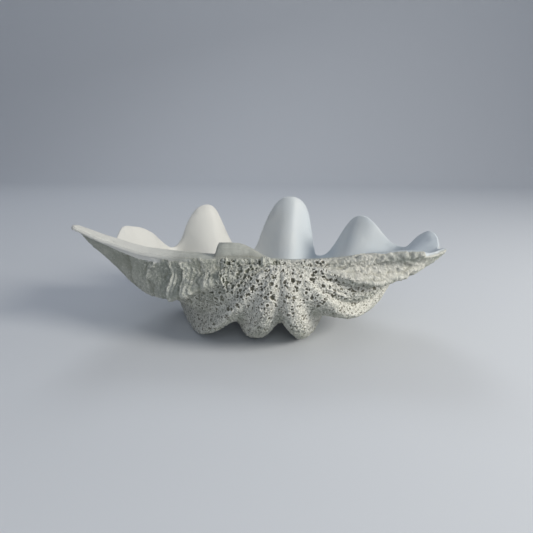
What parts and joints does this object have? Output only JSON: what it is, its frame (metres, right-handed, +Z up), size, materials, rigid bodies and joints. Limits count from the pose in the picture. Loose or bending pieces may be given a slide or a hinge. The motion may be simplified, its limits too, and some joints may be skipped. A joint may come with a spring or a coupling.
{
  "type": "giant clam shell",
  "caption": "One deeply folded valve of a giant clam: a thick natural bowl with a tongued margin, a pitted outside and a smooth white inside, resting on its ribs.",
  "frame": {"origin": "centre of the bounding box in plan, on the level the valve rests on", "axes": "+X along the hinge toward the blunt end, +Y from the hinge to the folded margin, +Z up out of the open bowl"},
  "size_m": [0.4662, 0.2744, 0.1699],
  "materials": {
    "shell": "chalky, pitted outside; satin porcelain inside"
  },
  "bodies": {
    "root": {"clam_valve": "shell"}
  },
  "joints": []
}
